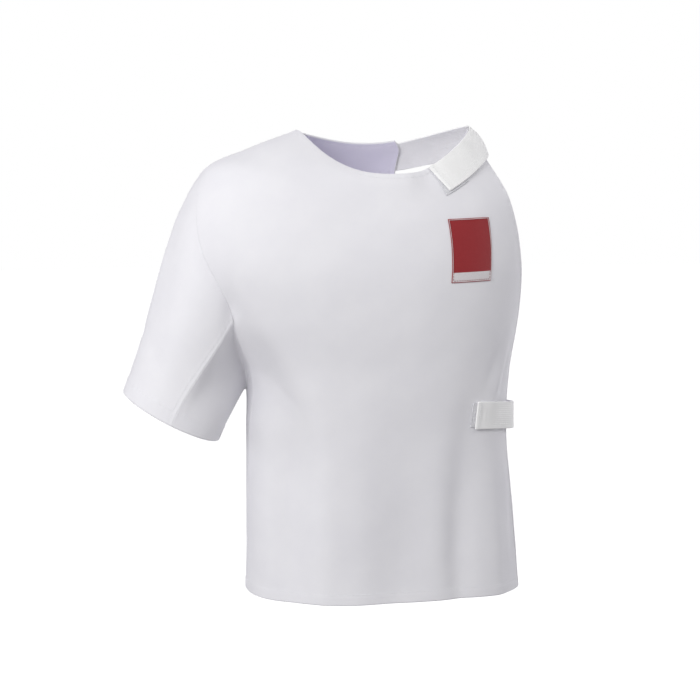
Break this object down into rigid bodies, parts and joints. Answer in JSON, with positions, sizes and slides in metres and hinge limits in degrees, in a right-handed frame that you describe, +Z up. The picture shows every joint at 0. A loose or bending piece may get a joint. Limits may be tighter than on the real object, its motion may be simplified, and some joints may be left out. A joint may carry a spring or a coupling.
{
  "type": "fencing underplastron",
  "caption": "Half jacket of thick white cloth with one short sleeve, an open left side and two elastic straps, in its worn shape.",
  "frame": {"origin": "middle of the neck ring, level with the neck's right side, where a wearer's neck passes", "axes": "+Z up, the garment's front faces -Y, the wearer's right arm and the sleeve are on -X"},
  "size_m": [0.4575, 0.2364, 0.5375],
  "materials": {
    "white_cloth": "dense white protective cloth with a soft sheen",
    "grey_elastic": "ribbed grey-white elastic",
    "loop_tape": "napped loop tape",
    "red_label": "woven dark red label with a thin pale frame and a plain pale band"
  },
  "bodies": {
    "root": {"front_panel": "white_cloth", "back_panel": "white_cloth", "sleeve": "white_cloth", "underarm_panel": "white_cloth", "neck_strap": "grey_elastic", "waist_strap": "grey_elastic", "neck_loop_patch": "loop_tape", "waist_loop_patch": "loop_tape", "chest_label": "red_label"}
  },
  "joints": []
}
